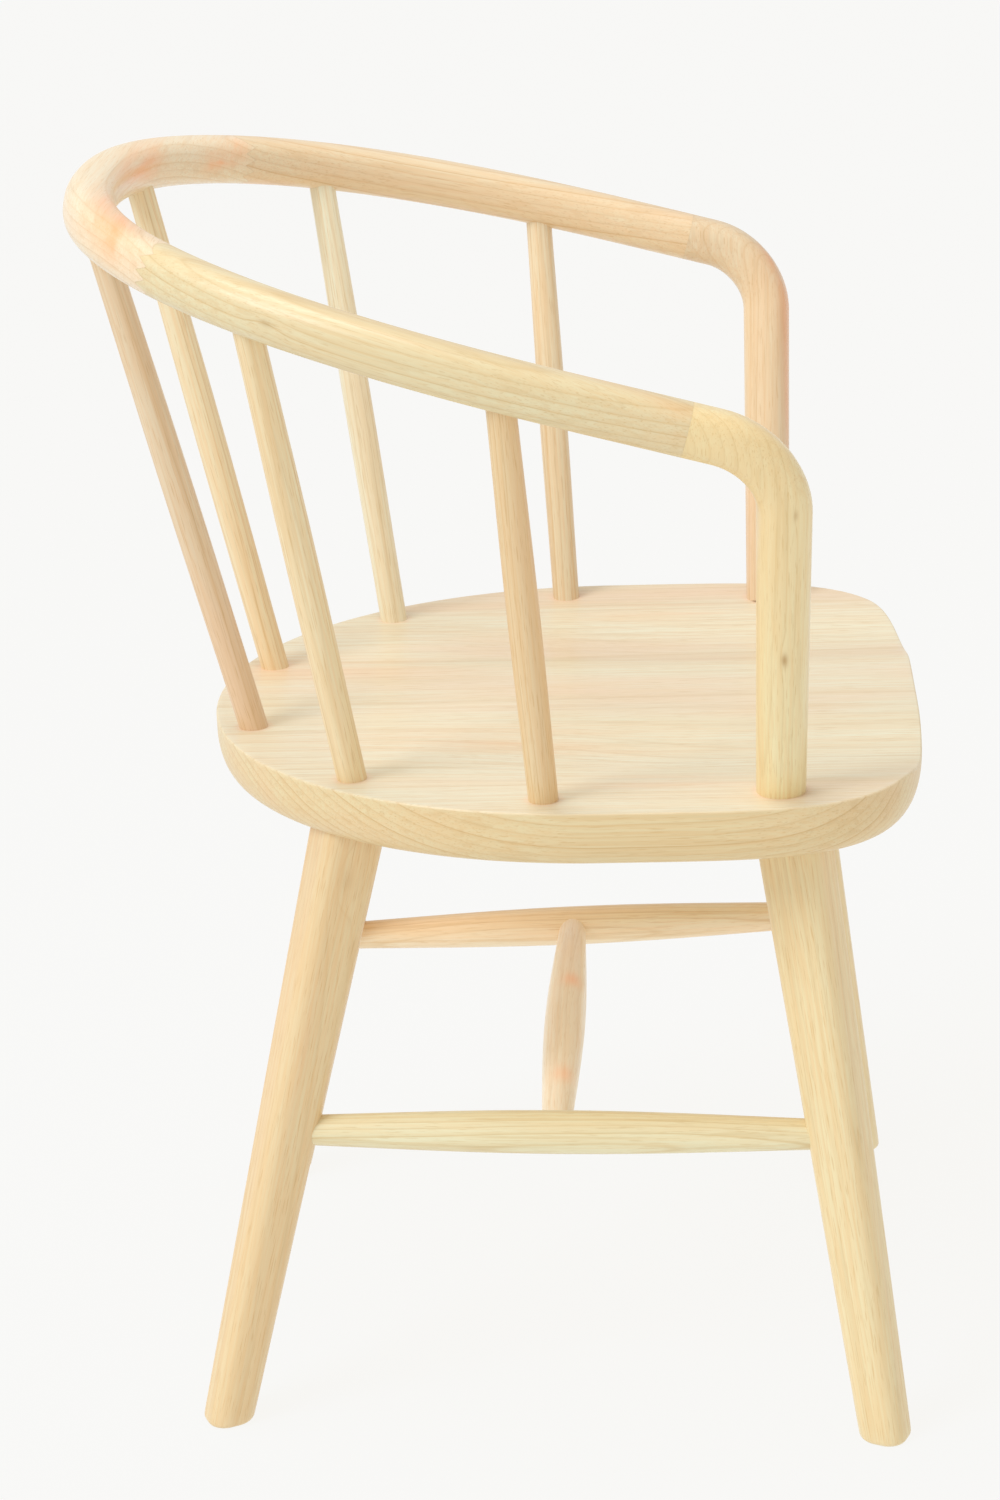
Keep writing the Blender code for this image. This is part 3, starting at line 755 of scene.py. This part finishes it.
def turned(start, end, radii, around):
    # rings square to the line from start to end
    along = unit(end - start)
    sideways = unit(np.cross(sectionHint, along))
    upward = np.cross(along, sideways)
    turn = 2.0 * np.pi * np.arange(around) / around
    circle = np.cos(turn)[:, None] * sideways + np.sin(turn)[:, None] * upward
    centres = start + (end - start) * np.linspace(0.0, 1.0, len(radii))[:, None]
    return centres[:, None, :] + circle[None, :, :] * np.asarray(radii)[:, None, None]


def middleOf(start, end):
    return chairPlace(*((start + end) / 2.0))


def makeSpindle(rail, which, word, side):
    foot, head = spindleEnds(rail, which, side)
    finish = woodFinish("spindleWood" + which + word, middleOf(foot, head), head - foot,
                        **spindleWood["all"], **spindleWood[which + word])
    up = unit(head - foot)
    share = np.linspace(0.0, 1.0, spindle["rings"])
    radii = spindle["footRadius"] + (spindle["headRadius"] - spindle["footRadius"]) * share
    radii = radii + spindle["swell"] * np.sin(np.pi * share) ** 2
    loops = turned(foot - up * spindle["depth"], head, radii, spindle["around"])
    layPiece("spindle" + which + word, loops, f"spindle_{which.lower()}_{word.lower()}", finish)


# legs
leg = {
    "foot": {"Rear": (0.1825, 0.218), "Front": (0.2105, -0.2135)},
    "head": {"Rear": (0.138, 0.120), "Front": (0.153, -0.158)},
    "twist": {"Rear": 26.0, "Front": -23.0},
    "headSide": 0.042, "footSide": 0.0315, "headCorner": 0.26, "footCorner": 0.40,
    "footRounding": 0.004, "footWear": 0.8, "cornerWear": 0.7,
    "depth": 0.006, "cornerPoints": 11, "rings": 60, "footRings": 8,
}

legWood = {
    "all": {"ringWidth": 0.0044, "warp": 0.0016, "ringContrast": 0.42,
            "fibreContrast": 0.60, "strand": 0.20, "blush": 0.12, "warmth": 0.50},
    "RearRight": {"pith": (0.058, 0.06), "tint": (0.96, 0.905, 0.755), "seed": 101.0,
                  "knots": (((-0.161, 0.0976, 0.3728), 0.0035, 0.20),),
                  "flamesAndShadowStreaks": (((-0.174, 0.130, 0.263), 0.050, 0.003, 0.40),)},
    "RearLeft": {"pith": (0.062, 0.06), "tint": (0.96, 0.905, 0.755), "seed": 104.0},
    "FrontRight": {"pith": (0.066, 0.06), "tint": (1.01, 1.01, 0.86), "seed": 107.0},
    "FrontLeft": {"pith": (0.070, 0.06), "tint": (1.01, 1.01, 0.86), "seed": 110.0},
}


def legLine(end, side):
    foot = np.array((side * leg["foot"][end][0], leg["foot"][end][1], 0.0))
    top = seat["height"] - seat["thickness"]
    head = np.array((side * leg["head"][end][0], leg["head"][end][1], top))
    return foot, head


def legPoint(end, side, height):
    foot, head = legLine(end, side)
    return foot + (head - foot) * height / head[2]


def legRing(centre, width, cornerShare, twist):
    radius = width * cornerShare
    reach = (width / 2.0 - radius) * math.sqrt(2.0)
    ring = []
    for corner in range(4):
        middle = twist + math.pi / 2.0 * (corner + 0.5)
        hub = centre + reach * np.array((math.cos(middle), math.sin(middle), 0.0))
        for i in range(leg["cornerPoints"]):
            angle = twist + math.pi / 2.0 * (corner + i / (leg["cornerPoints"] - 1))
            ring.append(hub + radius * np.array((math.cos(angle), math.sin(angle), 0.0)))
    return np.array(ring)


def makeLeg(end, word, side):
    foot, head = legLine(end, side)
    finish = woodFinish("legWood" + end + word, middleOf(foot, head), head - foot,
                        **legWood["all"], **legWood[end + word])
    top = head[2]
    twist = -side * math.radians(leg["twist"][end])
    corner = np.tile(np.sin(np.linspace(0.0, np.pi, leg["cornerPoints"])) ** 2, 4)
    loops = []
    wear = []
    for i in range(leg["footRings"]):
        turn = math.pi / 2.0 * i / (leg["footRings"] - 1)
        height = leg["footRounding"] * (1.0 - math.cos(turn))
        inset = leg["footRounding"] * (1.0 - math.sin(turn))
        width = leg["footSide"] - 2.0 * inset
        loops.append(legRing(legPoint(end, side, height), width, leg["footCorner"], twist))
        wear.append(np.full(len(corner), leg["footWear"]))
    for height in np.linspace(leg["footRounding"], top + leg["depth"], leg["rings"])[1:]:
        share = height / top
        width = leg["footSide"] + (leg["headSide"] - leg["footSide"]) * share
        cornerShare = leg["footCorner"] + (leg["headCorner"] - leg["footCorner"]) * share
        loops.append(legRing(legPoint(end, side, height), width, cornerShare, twist))
        wear.append(leg["cornerWear"] * corner)
    node = f"leg_{end.lower()}_{word.lower()}"
    layPiece("leg" + end + word, np.array(loops), node, finish, np.array(wear))


# stretchers
stretcher = {
    "height": {"Rear": 0.1995, "Front": 0.202},
    "endRadius": 0.0094, "middleRadius": 0.014, "swellPower": 1.3,
    "pastAxis": 0.004, "crossBehindMiddle": 0.003, "around": 64, "rings": 90,
}

stretcherWood = {
    "Right": {"pith": (0.03, 0.015), "ringWidth": 0.0034, "ringContrast": 0.80, "fibreContrast": 0.50,
              "strand": 0.35, "blush": 0.08, "warmth": 0.45, "tint": (0.99, 1.10, 1.05), "seed": 153.0},
    "Left": {"pith": (0.03, 0.015), "ringWidth": 0.0034, "ringContrast": 0.80, "fibreContrast": 0.50,
             "strand": 0.35, "blush": 0.40, "warmth": 0.45, "tint": (1.11, 1.13, 1.12), "seed": 156.0},
    # the cross stretcher's tint is partly the wood's own colour and partly painted light, lifting it
    # out of the shade under the seat
    "Cross": {"pith": (0.03, -0.02), "ringWidth": 0.0040, "ringContrast": 0.35, "fibreContrast": 0.40,
              "blush": 0.35, "warmth": 0.30, "tint": (1.14, 1.24, 1.42), "seed": 151.0,
              "flamesAndShadowStreaks": (((0.0431, -0.0327, 0.2135), 0.012, 0.007, 0.40),
                         ((-0.1067, -0.0315, 0.2117), 0.012, 0.007, 0.35))},
}


def stretcherRadii():
    share = np.linspace(0.0, 1.0, stretcher["rings"])
    swell = np.maximum(np.sin(np.pi * share), 0.0) ** stretcher["swellPower"]
    return stretcher["endRadius"] + (stretcher["middleRadius"] - stretcher["endRadius"]) * swell


def stretcherEnds(side):
    return (legPoint("Rear", side, stretcher["height"]["Rear"]),
            legPoint("Front", side, stretcher["height"]["Front"]))


def makeStretchers():
    middles = {}
    for word, side in sides.items():
        rear, front = stretcherEnds(side)
        past = unit(front - rear) * stretcher["pastAxis"]
        loops = turned(rear - past, front + past, stretcherRadii(), stretcher["around"])
        finish = woodFinish("stretcherWood" + word, middleOf(rear, front), front - rear,
                            **stretcherWood[word])
        layPiece("sideStretcher" + word, loops, "side_stretcher_" + word.lower(), finish)
        share = 0.5 - stretcher["crossBehindMiddle"] / np.linalg.norm(rear - front)
        middles[word] = rear + (front - rear) * share
    loops = turned(middles["Right"], middles["Left"], stretcherRadii(), stretcher["around"])
    finish = woodFinish("stretcherWoodCross", chairPlace(0.0, 0.0, 0.2), (1.0, 0.0, 0.0),
                        **stretcherWood["Cross"])
    layPiece("crossStretcher", loops, "cross_stretcher", finish)


# the whole chair
makeCamera()
makeStage()
print("camera, floor and light are set")
rail = Rail()
makeSeat()
print("seat is made")
makeBow(rail)
print("bow is made")
for which in spindle["foot"]:
    for word, side in sides.items():
        makeSpindle(rail, which, word, side)
for end in leg["foot"]:
    for word, side in sides.items():
        makeLeg(end, word, side)
print("spindles and legs are made")
makeStretchers()
print("stretchers are made")
